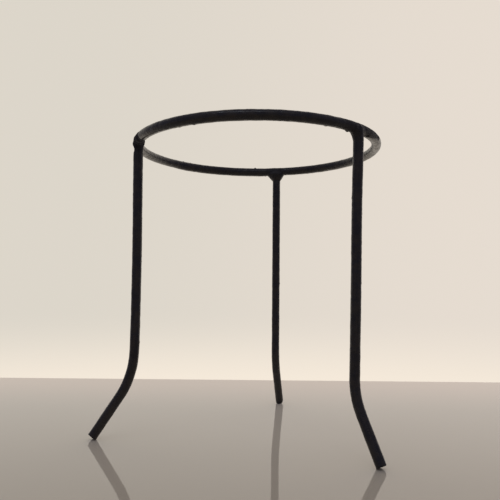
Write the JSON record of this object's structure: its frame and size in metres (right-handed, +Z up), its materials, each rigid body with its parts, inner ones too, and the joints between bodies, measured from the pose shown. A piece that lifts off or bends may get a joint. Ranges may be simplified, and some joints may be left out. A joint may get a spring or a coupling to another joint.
{
  "type": "laboratory tripod stand",
  "caption": "Laboratory tripod stand: a round bar ring welded on splayed bent legs, for holding a gauze mat or beaker over a burner, in black paint.",
  "frame": {"origin": "on the table, under the middle of the stand's bounding box; the ring's axis passes 9.2 mm towards +X and 5.4 mm towards -Y from it", "axes": "+Z up, square to the ring; -Y is the front, with the left leg towards -X, the right leg towards +X and -Y, and the rear leg towards +Y"},
  "size_m": [0.1457, 0.1381, 0.1499],
  "materials": {
    "black_bar": "satin black stoving paint over drawn steel bar, slightly mottled",
    "black_weld": "the same black paint over rough weld metal, duller"
  },
  "bodies": {
    "root": {"ring": "black_bar", "ring_weld": "black_weld", "leg_left": "black_bar", "leg_right": "black_bar", "leg_rear": "black_bar", "weld_left": "black_weld", "weld_right": "black_weld", "weld_rear": "black_weld"}
  },
  "joints": []
}
